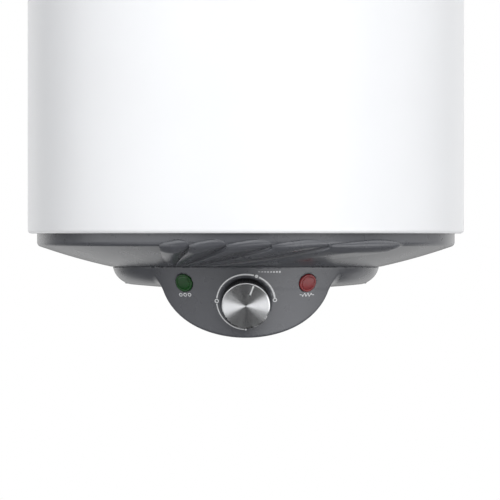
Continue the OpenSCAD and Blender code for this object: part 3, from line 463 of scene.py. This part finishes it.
def round_cut(a, b, r):
    """The overlap of two fields, with its edge rounded to r."""
    u, v = np.maximum(a + r, 0), np.maximum(b + r, 0)
    return np.minimum(np.maximum(a, b), -r) + np.sqrt(u * u + v * v)


def round_join(a, b, r):
    """Both fields together, with the corner between them filled to r."""
    u, v = np.maximum(r - a, 0), np.maximum(r - b, 0)
    return np.maximum(np.minimum(a, b), r) - np.sqrt(u * u + v * v)


def rod(p, f, r, lo, hi):
    """A round rod about a panel frame's outward axis, from lo to hi along it."""
    q = p - f[0].astype(p.dtype)
    h = q @ f[3].astype(p.dtype)
    d = np.sqrt(np.maximum((q * q).sum(-1) - h * h, 0)) - r
    return np.maximum(d, np.maximum(lo - h, h - hi))


def upright(p, x, y, r, lo, hi):
    """An upright round rod from height lo to hi."""
    d = np.hypot(p[..., 0] - x, p[..., 1] - y) - r
    return np.maximum(d, np.maximum(lo - p[..., 2], p[..., 2] - hi))


def cover_body(p):
    """The cover's outside: a drum, and a tongue that an egg cuts out of the drum's cone."""
    x, y, z = p[..., 0], p[..., 1], p[..., 2]
    r = np.hypot(x, y)
    cone = (r - cone_r(z)) * math.cos(DRAFT)
    floor = DRUM_LOW + r * r / DRUM_BOW - z
    ex, ey, ez = x / EGG_HALF_W, (y - EGG_Y) / EGG_R, (z - EGG_Z) / EGG_R
    k = np.sqrt(ex * ex + ey * ey + ez * ez) + 1e-6
    slope = np.sqrt((ex / EGG_HALF_W) ** 2 + (ey / EGG_R) ** 2 + (ez / EGG_R) ** 2) / k
    egg = (k - 1) / np.maximum(slope, 1e-4)
    body = round_join(round_cut(cone, floor, DRUM_EDGE), round_cut(cone, egg, TONGUE_EDGE), FILLET)
    return round_cut(body, cone, 0.3)


def cover_field(p):
    """The hollow cover with its bosses, screw posts and holes."""
    body = cover_body(p)
    d = np.maximum(body, -(body + WALL))
    boss = np.maximum(rod(p, KNOB, 30, -7, 4), body)
    for f in LAMPS:
        boss = np.minimum(boss, np.maximum(rod(p, f, 13, -5, 4), body))
    posts = [(SCREW_R * math.sin(math.radians(a)), -SCREW_R * math.cos(math.radians(a)))
             for a in SCREW_ANGLES]
    for x, y in posts:
        boss = np.minimum(boss, upright(p, x, y, POST_R, POST_LOW, -30))
    d = np.minimum(d, boss)
    d = round_cut(d, p[..., 2] + DISH_H + RIM_GAP, 0.25)
    cuts = [rod(p, KNOB, WELL_R, -WELL_DEEP, 30), rod(p, KNOB, SHAFT_HOLE_R, -30, 30)]
    for f in LAMPS:
        cuts += [rod(p, f, LENS_R + LENS_GAP, -LENS_SINK, 20), rod(p, f, LAMP_HOLE_R, -20, 20)]
    for x, y in posts:
        cuts += [upright(p, x, y, SCREW_HOLE_R, -90, -20), upright(p, x, y, HEAD_R, -90, HEAD_TOP)]
    for x, y, r in ((-PIPE_X, PIPE_Y, PIPE_HOLE_R), (PIPE_X, PIPE_Y, PIPE_HOLE_R),
                    (0, GLAND_Y, GLAND_HOLE_R)):
        cuts.append(upright(p, x, y, r, -90, -40))
    return round_cut(d, -np.minimum.reduce(cuts), 0.35)


def surface_nets(field, lo, hi, h):
    """A quad mesh of the field's zero surface on a grid of pitch h, pulled on to the surface."""
    n = [int(math.ceil((b - a) / h)) + 1 for a, b in zip(lo, hi)]
    axes = [np.arange(k, dtype=np.float32) * h + a for k, a in zip(n, lo)]
    v = np.empty(n, np.float32)
    for i in range(n[0]):
        gy, gz = np.meshgrid(axes[1], axes[2], indexing="ij")
        v[i] = field(np.stack([np.full_like(gy, axes[0][i]), gy, gz], -1))
    inside = v < 0
    cells = tuple(k - 1 for k in n)
    total, count = np.zeros(cells + (3,), np.float32), np.zeros(cells, np.int16)
    corner = [(a, b, c) for a in (0, 1) for b in (0, 1) for c in (0, 1)]
    for axis in range(3):
        for c in corner:
            if c[axis]:
                continue
            e = list(c)
            e[axis] = 1
            sa = tuple(slice(c[k], c[k] + cells[k]) for k in range(3))
            sb = tuple(slice(e[k], e[k] + cells[k]) for k in range(3))
            cross = inside[sa] != inside[sb]
            t = v[sa][cross] / (v[sa][cross] - v[sb][cross])
            add = np.empty((len(t), 3), np.float32)
            add[:] = c
            add[:, axis] = t
            total[cross] += add
            count[cross] += 1
    used = count > 0
    index = np.full(cells, -1, np.int64)
    index[used] = np.arange(used.sum())
    pts = total[used] / count[used][:, None] + np.argwhere(used)
    pts = pts.astype(np.float64) * h + np.array(lo)
    faces = []
    for axis in range(3):
        b, c = (axis + 1) % 3, (axis + 2) % 3
        s0 = [slice(1, k - 1) for k in n]
        s0[axis] = slice(0, n[axis] - 1)
        s1 = list(s0)
        s1[axis] = slice(1, n[axis])
        a0, a1 = inside[tuple(s0)], inside[tuple(s1)]
        for flip in (False, True):
            at = np.argwhere((a0 != a1) & (a0 == flip))
            off = np.ones(3, int)
            off[axis] = 0
            at = at + off
            quad = []
            for db, dc in ((0, 0), (-1, 0), (-1, -1), (0, -1)):
                q = at.copy()
                q[:, b] += db
                q[:, c] += dc
                quad.append(index[q[:, 0], q[:, 1], q[:, 2]])
            quad = np.stack(quad, -1)
            faces.append(quad if not flip else quad[:, ::-1])
    faces = np.concatenate(faces)
    e = 0.04
    for _ in range(4):
        d = field(pts)
        g = np.stack([(field(pts + e * u) - field(pts - e * u)) / (2 * e) for u in np.eye(3)], -1)
        g2 = np.maximum((g * g).sum(-1), 0.2)
        move = -(d / g2)[:, None] * g
        size = np.linalg.norm(move, axis=1, keepdims=True)
        pts = pts + move * np.minimum(1, 0.45 * h / np.maximum(size, 1e-9))
    return pts, faces


cover_pts, cover_faces = surface_nets(cover_field, (-139, -139, -108.4), (139, 139, -31.5), PITCH)
add_piece("cover", cover_pts, cover_faces, GRAPHITE, "control_cover", sharp=42)

# ---- knob ---------------------------------------------------------------------------------------

DIAL = panel_frame(0, -DIAL_H, POINTER)
side_top = KNOB_RISE - 1.5


def grip(a, r, h):
    """Fine flutes round the knob's side, stopping short of both ends."""
    outer = (r > KNOB_R - 0.6) & (h > -1.5) & (h < side_top - 1.0)
    return -0.35 * outer * (0.5 + 0.5 * np.cos(np.radians(a * 60)))


BORE_R, HUB_R, SKIRT_IN_R, SKIRT_R = 3.05, 7.0, 22.0, 24.35
SKIRT_LOW, CAVITY_TOP = -2.7, 6.3
body = [(BORE_R, SKIRT_LOW), (HUB_R, SKIRT_LOW), (HUB_R, CAVITY_TOP), (SKIRT_IN_R, CAVITY_TOP),
        (SKIRT_IN_R, SKIRT_LOW), (23.9, SKIRT_LOW), (24.3, -2.3)]
body += [(SKIRT_R, h) for h in np.linspace(-1.4, side_top - 1.1, 10)]
body += [(24.3, side_top - 0.7), (24.2, side_top), (BORE_R, side_top)]
add_piece("knob_skirt", lathe(body, DIAL, 480, grip), grid_faces(480, len(body), True, True), BLACK,
          "knob_body", body="knob", sharp=40)

RINGS, SPOKES = 60, 256
cap = [(KNOB_R, side_top + 0.02), (KNOB_R, KNOB_RISE - 0.8), (KNOB_R - 0.25, KNOB_RISE - 0.42),
       (KNOB_R - 0.85, KNOB_RISE - 0.06), (KNOB_R - 1.0, KNOB_RISE)]
cap += [(r, KNOB_RISE) for r in np.linspace(KNOB_R - 1.0, 0.15, RINGS)[1:]]
cap += [(0.15, side_top + 0.02)]
cap_pts = lathe(cap, DIAL, SPOKES)
local = np.stack([(cap_pts - DIAL[0]) @ DIAL[k] for k in (1, 2, 3)], -1)
across, along, off = local.T
slot = (abs(across) < 0.75) & (along > 12.4) & (along < 22.9) & (off > KNOB_RISE - 0.1)
cap_pts[slot] -= 0.5 * DIAL[3]
knob_cap = add_piece("knob_face", cap_pts, grid_faces(SPOKES, len(cap), True, True), SPUN,
                     "knob_cap", body="knob", sharp=24)
# The map that spun metal takes its direction from: u runs round the face, and v inwards.
uv = knob_cap.data.uv_layers.new(name="spin")
spin = np.empty((len(knob_cap.data.loops), 2))
vert = np.empty(len(knob_cap.data.loops), int)
knob_cap.data.loops.foreach_get("vertex_index", vert)
spoke = (vert // len(cap)).astype(float)
for poly in knob_cap.data.polygons:
    s = slice(poly.loop_start, poly.loop_start + poly.loop_total)
    if spoke[s].max() - spoke[s].min() > SPOKES / 2:
        spoke[s] = np.where(spoke[s] == 0, SPOKES, spoke[s])
spin[:, 0] = spoke / SPOKES
spin[:, 1] = vert % len(cap) / len(cap)
uv.data.foreach_set("uv", spin.ravel())


def bar(x0, x1, y0, y1, h0, h1):
    """A bar with rounded upper edges, as points and faces in a panel frame."""
    edge = 0.15
    loops = [(x0, x1, y0, y1, h0), (x0, x1, y0, y1, h1 - edge),
             (x0 + edge * 0.3, x1 - edge * 0.3, y0 + edge * 0.3, y1 - edge * 0.3, h1 - edge * 0.3),
             (x0 + edge, x1 - edge, y0 + edge, y1 - edge, h1)]
    pts = [(x, y, h) for a, b, c, d, h in loops for x, y in ((a, c), (b, c), (b, d), (a, d))]
    faces = [(0, 3, 2, 1), (12, 13, 14, 15)]
    for k in range(3):
        for j in range(4):
            j2 = (j + 1) % 4
            faces.append((4 * k + j, 4 * k + j2, 4 * k + 4 + j2, 4 * k + 4 + j))
    return np.array(pts), faces


bar_pts, bar_faces = bar(-0.65, 0.65, 12.7, 22.8, KNOB_RISE - 0.48, KNOB_RISE + 0.12)
add_piece("pointer", in_panel(bar_pts, DIAL), bar_faces, INK, "knob_pointer", body="knob")

# ---- printed scale and symbols -----------------------------------------------------------------

INK_H = 0.15


def on_wall(uv, f, lift):
    """Points of a flat drawing carried on to the drafted wall, lifted off it."""
    p = in_panel(np.column_stack([uv, np.zeros(len(uv))]), f)
    for _ in range(6):
        r = np.hypot(p[:, 0], p[:, 1])
        d = (r - cone_r(p[:, 2])) * math.cos(DRAFT) - lift
        n = np.stack([p[:, 0] / r * math.cos(DRAFT), p[:, 1] / r * math.cos(DRAFT),
                      np.full(len(p), -math.sin(DRAFT))], -1)
        p = p - f[3] * (d / (n @ f[3]))[:, None]
    return p


def strip(left, right, f, closed=False):
    """A printed line between two edges, as one thin closed band on the wall."""
    left, right = np.asarray(left, float), np.asarray(right, float)
    n = len(left)
    loops = [on_wall(left, f, 0.01), on_wall(left, f, INK_H), on_wall(right, f, INK_H),
             on_wall(right, f, 0.01)]
    pts = np.stack(loops, 1).reshape(-1, 3)
    faces = grid_faces(n, 4, closed, True)
    if not closed:
        faces += [(0, 1, 2, 3), tuple(4 * (n - 1) + k for k in (3, 2, 1, 0))]
    return pts, faces


def merge(parts):
    """Several (points, faces) pairs as one."""
    pts, faces, base = [], [], 0
    for p, f in parts:
        pts.append(p)
        faces += [tuple(i + base for i in q) for q in f]
        base += len(p)
    return np.concatenate(pts), faces


def clock(a, r):
    """Flat points at radius r and angle a, in degrees clockwise from the top."""
    a = np.radians(np.asarray(a, float))
    return np.stack([r * np.sin(a), r * np.cos(a)], -1)


def scale_line(a0, a1):
    """A piece of the dial's ring of print, which grows wider clockwise."""
    a = np.linspace(a0, a1, max(3, int((a1 - a0) / 1.5)))
    half = 0.45 + 0.45 * (a + 180) / 270
    return strip(clock(a, SCALE_R + half), clock(a, SCALE_R - half), KNOB)


def ring(centre, outer, inner, n, f):
    """A printed ring with n sides."""
    t = turn_full(n)
    return strip(centre + clock(t, outer), centre + clock(t, inner), f, True)


def dot(centre, radius, f):
    """A printed disc."""
    t = turn_full(32)
    top, base = on_wall(centre + clock(t, radius), f, INK_H), on_wall(centre + clock(t, radius), f, 0.01)
    mid = on_wall(np.array([centre]), f, INK_H)
    n = len(t)
    faces = [(k, (k + 1) % n, n + (k + 1) % n, n + k) for k in range(n)]
    faces += [(n + k, n + (k + 1) % n, 2 * n) for k in range(n)] + [tuple(range(n - 1, -1, -1))]
    return np.concatenate([base, top, mid]), faces


def stroke(points, width, f):
    """A printed line along points."""
    p = np.asarray(points, float)
    d = np.gradient(p, axis=0)
    d /= np.linalg.norm(d, axis=1, keepdims=True)
    side = np.stack([-d[:, 1], d[:, 0]], -1) * width / 2
    return strip(p + side, p - side, f)


marks = [scale_line(-177, -95.5), scale_line(-84.5, POINTER - 4.3), scale_line(POINTER + 7.2, 83.5)]
marks += [ring(clock(a, SCALE_R), 2.2, 1.2, 40, KNOB) for a in (-90, 88)]
marks += [dot(clock(POINTER + 1.6, SCALE_R), 1.75, KNOB), dot(np.array([0, -SCALE_R]), 1.0, KNOB)]
pts, faces = merge(marks)
add_piece("scale_print", pts, faces, INK, "dial_scale")

# A zigzag under the red lamp, three rings under the green one and eight ticks at the dial.
SYMBOL_H = -LAMP_H - 12
heat = panel_frame(LAMP_X - 0.8, SYMBOL_H)
drop = panel_frame(-LAMP_X + 1.2, SYMBOL_H)
ticks = panel_frame(23.6, -DISH_H - 5.2)
t = np.linspace(-5.6, 5.6, 61)
zig = np.stack([t, 1.9 * 2 / math.pi * np.arcsin(np.sin(t * math.pi / 1.87))], -1)
symbols = [stroke(zig, 0.75, heat)]
symbols += [stroke(np.stack([np.linspace(s * 6.0, s * 8.2, 4), np.zeros(4)], -1), 0.75, heat)
            for s in (-1, 1)]
symbols += [ring((c, 0), 1.9, 1.2, 36, drop) for c in (-5, 0, 5)]
symbols += [stroke([(-11 + 3 * i, 0), (-10 + 3 * i, 0), (-9.2 + 3 * i, 0)], 0.6 + 0.2 * i, ticks)
            for i in range(8)]
pts, faces = merge(symbols)
add_piece("symbol_print", pts, faces, INK, "panel_symbols")

# ---- pilot lamps -------------------------------------------------------------------------------------

lens = [(6.2, -9.0), (8.05, -9.0), (8.05, -1.4), (LENS_R, -1.4), (LENS_R, 0.7), (LENS_R - 0.2, 1.0),
        (LENS_R - 0.6, 1.15), (LENS_R - 1.5, 1.15), (LENS_R - 1.75, 1.1), (LENS_R - 1.9, 0.95),
        (LENS_R - 2.2, 0.95), (LENS_R - 2.45, 1.15), (LENS_R - 2.8, 1.35)]
lens += [(r, 1.75 - 0.4 * (r / 6.4) ** 2) for r in np.linspace(5.6, 0.12, 14)]
lens += [(0.12, -0.5), (6.2, -0.5)]
for f, mat, slot_name in ((LAMPS[0], GREEN_LENS, "green_lens"), (LAMPS[1], RED_LENS, "red_lens")):
    add_piece(slot_name + "_cap", lathe(lens, f, 96), grid_faces(96, len(lens), True, True), mat,
              slot_name, sharp=40)

# ---- the CAD nodes that stay ----------------------------------------------------------------------

KEPT = {
    ZINC: ["outlet_riser", "wall_bracket_upper", "wall_bracket_lower", "flange_ring", "flange_studs",
           "flange_plate", "flange_nuts", "anode_stud", "cold_inlet_pipe", "hot_outlet_pipe", "pipe_sockets",
           "component_bracket", "bracket_screws", "thermostat_screws", "thermostat_shaft",
           "knob_clip", "lamp_clips", "cover_screws"],
    IVORY: ["element_terminals", "inlet_diffuser", "terminal_block", "thermostat_body", "lamp_holders"],
    BLACK: ["safety_cutout", "cable_gland", "gland_nut"],
    COPPER: ["heating_element", "sensor_bulbs", "capillary_tubes"],
    BRASS: ["sensor_pocket", "terminal_screws", "earth_screw"],
    FOAM: ["foam_insulation"], ENAMEL: ["inner_tank"], RUBBER: ["flange_gasket"],
    MAGNESIUM: ["anode_rod"], BLUE: ["cold_collar"], RED: ["hot_collar", "reset_button"],
    BULB: ["lamp_bulbs"],
}
BEVELLED = ("wall_bracket_upper", "wall_bracket_lower", "cold_collar", "hot_collar", "cable_gland")
for mat, names in list(KEPT.items()) + [(m, [n]) for n, m in SLEEVES.items()]:
    for n in names:
        ob = NODES[n]
        for s in ob.material_slots:
            s.material = mat
        if not ob.material_slots:
            ob.data.materials.append(mat)
        if n in BEVELLED:
            bev = ob.modifiers.new("edge", "BEVEL")
            bev.width, bev.segments, bev.limit_method = 0.0006, 2, "ANGLE"
            bev.angle_limit = math.radians(40)

# ---- camera --------------------------------------------------------------------------------------

FRAME_W, DISTANCE, SENSOR = 0.510, 12.0, 36
aim = Vector(to_row([4.2, 0, -16.8])[0])
cam_data = bpy.data.cameras.new("camera")
cam_data.sensor_width = SENSOR
cam_data.lens = SENSOR * DISTANCE / FRAME_W
cam_data.clip_start, cam_data.clip_end = 0.1, 40
cam = bpy.data.objects.new("camera", cam_data)
cam.location = aim + Vector((0, -DISTANCE, 0))
cam.rotation_euler = (math.radians(90), 0, 0)
bpy.context.scene.collection.objects.link(cam)
bpy.context.scene.camera = cam
bpy.context.scene.view_settings.view_transform = "Standard"

# ---- floor and light -----------------------------------------------------------------------------

FLOOR_Z, FLOOR_R = -1.15, 5
me = bpy.data.meshes.new("floor")
a = turn_full(96)
edge = np.stack([FLOOR_R * np.cos(np.radians(a)), FLOOR_R * np.sin(np.radians(a)) - 0.3,
                 np.full(len(a), FLOOR_Z)], -1)
me.from_pydata(edge.tolist(), [], [tuple(range(len(a)))])
me.materials.append(material("pale_floor", (0.80, 0.80, 0.80), 0.7, vary=0.01, scale=3, specular=0.2))
floor = bpy.data.objects.new("floor", me)
bpy.context.scene.collection.objects.link(floor)
floor.visible_glossy = False

# The studio's surround of light and dark strips is fixed in the world. It was tuned
# until the front view matched the photograph. Glossy rays, diffuse rays and the backdrop each
# have their own version.
world = bpy.data.worlds.new("studio")
bpy.context.scene.world = world
world.use_nodes = True
wt = world.node_tree
wt.nodes.clear()
W = wt.nodes.new
link = wt.links.new


def feed(socket, v):
    """A number goes on the socket itself, and an output is linked to it."""
    if isinstance(v, (int, float)):
        socket.default_value = v
    else:
        link(v, socket)


def math_node(op, *values):
    n = W("ShaderNodeMath")
    n.operation = op
    for socket, v in zip(n.inputs, values):
        feed(socket, v)
    return n.outputs[0]


def ramp_node(fac, stops, curve="EASE"):
    """Brightness, up to 4, against an angle of -180 to 180 degrees that fac gives as 0 to 1."""
    stops = [(0.5 + degrees / 360, v) for degrees, v in stops]
    n = W("ShaderNodeValToRGB")
    n.color_ramp.interpolation = curve
    el = n.color_ramp.elements
    el[0].position, el[1].position = stops[0][0], stops[-1][0]
    for pos, v in stops[1:-1]:
        el.new(pos)
    for e, (pos, v) in zip(el, stops):
        e.position, e.color = pos, (v / 4, v / 4, v / 4, 1)
    link(fac, n.inputs["Fac"])
    return math_node("MULTIPLY", n.outputs["Color"], 4.0)


def fade(v, low, high):
    """0 below low, 1 above high and smooth between."""
    n = W("ShaderNodeMapRange")
    n.interpolation_type = "SMOOTHSTEP"
    n.inputs["From Min"].default_value, n.inputs["From Max"].default_value = low, high
    link(v, n.inputs["Value"])
    return n.outputs["Result"]


def blend(fac, a, b):
    """a where fac is 0 and b where it is 1."""
    return math_node("ADD", math_node("MULTIPLY", a, math_node("SUBTRACT", 1.0, fac)),
                     math_node("MULTIPLY", b, fac))


coord = W("ShaderNodeTexCoord")
sep = W("ShaderNodeSeparateXYZ")
link(coord.outputs["Generated"], sep.inputs[0])
X, Y, Z = (sep.outputs[k] for k in "XYZ")
# Azimuth is 0.5 straight in front of the heater and more towards +X.
azimuth = math_node("ADD", math_node("DIVIDE", math_node("ARCTAN2", X, math_node("MULTIPLY", Y, -1.0)),
                    2 * math.pi), 0.5)

# What glossy surfaces see level with the heater, below it and above it.
level = ramp_node(azimuth, (
    (-180, 1.0), (-150, 1.2), (-128, 0.3), (-110, 0.25), (-92, 1.8), (-60, 2.2), (-34, 2.0), (-16, 0.6),
    (4, 0.45), (22, 1.8), (40, 2.1), (56, 0.5), (68, 0.5), (88, 1.7), (112, 1.4), (130, 0.9),
    (152, 1.3), (180, 1.0)))
below = ramp_node(azimuth, (
    (-180, 0.78), (-168, 0.88), (-158, 1.0), (-146, 0.4), (-122, 0.15), (-95, 0.2), (-60, 0.3), (-20, 0.3),
    (20, 0.5), (50, 2.6), (88, 2.6), (100, 0.5), (108, 0.25), (118, 0.4), (130, 1.1), (160, 1.0),
    (180, 0.72)))
above = ramp_node(azimuth, (
    (-180, 0.9), (-90, 2.6), (0, 3.2), (90, 2.6), (180, 0.9)))
# The knob's face looks down at the floor in front: long lamps lie round that direction like
# the spokes of a wheel, and give spun metal its bright sectors.
tilt = 2 * DRAFT
ahead = math_node("ADD", math_node("MULTIPLY", Y, -math.cos(tilt)), math_node("MULTIPLY", Z, -math.sin(tilt)))
rise = math_node("ADD", math_node("MULTIPLY", Y, -math.sin(tilt)), math_node("MULTIPLY", Z, math.cos(tilt)))
spoke_angle = math_node("ADD", math_node("DIVIDE", math_node("ARCTAN2", rise, X), 2 * math.pi), 0.5)
spokes = ramp_node(spoke_angle, (
    (-180, 1.1), (-160, 1.1), (-152, 0.03), (-106, 0.03), (-102, 0.9), (-98, 0.03), (-73, 0.03),
    (-69, 0.8), (-65, 0.03), (-45, 0.03), (-41, 3.2), (-37, 0.05), (-25, 0.05), (-18, 3.2), (22, 3.2),
    (30, 0.05), (60, 0.03), (150, 0.03), (160, 1.1), (180, 1.1)), "LINEAR")
down = math_node("MULTIPLY", Z, -1.0)
near = math_node("MULTIPLY", fade(ahead, 0.24, 0.42), fade(down, 0.06, 0.2))
gloss = blend(fade(down, 0.08, 0.26), level, below)
gloss = blend(fade(down, 0.54, 0.68), gloss, 0.15)
# A little below straight behind lies a small dark patch.
behind = math_node("MULTIPLY", fade(Y, 0.7, 0.9), fade(down, 0.0, 0.03))
for past in (fade(down, 0.12, 0.17), fade(math_node("ABSOLUTE", X), 0.06, 0.2)):
    behind = math_node("MULTIPLY", behind, math_node("SUBTRACT", 1.0, past))
gloss = blend(behind, gloss, 0.05)
gloss = blend(fade(Z, 0.16, 0.4), gloss, above)
gloss = blend(near, gloss, spokes)
diffuse = ramp_node(azimuth, (
    (-180, 0.8), (-100, 0.36), (-50, 0.82), (-15, 1.15), (25, 1.25), (60, 0.85), (100, 0.4), (180, 0.8)))
path = W("ShaderNodeLightPath")


def background(strength):
    n = W("ShaderNodeBackground")
    feed(n.inputs["Strength"], strength)
    n.inputs["Color"].default_value = (1, 1, 1, 1)
    return n.outputs[0]


def mix(fac, a, b):
    n = W("ShaderNodeMixShader")
    link(fac, n.inputs[0])
    link(a, n.inputs[1])
    link(b, n.inputs[2])
    return n.outputs[0]


lit = mix(path.outputs["Is Glossy Ray"], background(diffuse), background(gloss))
out = W("ShaderNodeOutputWorld")
link(mix(path.outputs["Is Camera Ray"], lit, background(1.0)), out.inputs["Surface"])

KEY_W, KEY_H, KEY_WATTS, KEY_FROM = 1.6, 1.2, 26, (0.4, -2.6, 0.9)
key_data = bpy.data.lights.new("key", "AREA")
key_data.shape, key_data.size, key_data.size_y, key_data.energy = "RECTANGLE", KEY_W, KEY_H, KEY_WATTS
key = bpy.data.objects.new("key", key_data)
target = Vector(to_row([0, 0, 200])[0])
key.location = target + Vector(KEY_FROM)
key.rotation_euler = (target - key.location).to_track_quat("-Z", "Y").to_euler()
key.visible_glossy = False
bpy.context.scene.collection.objects.link(key)
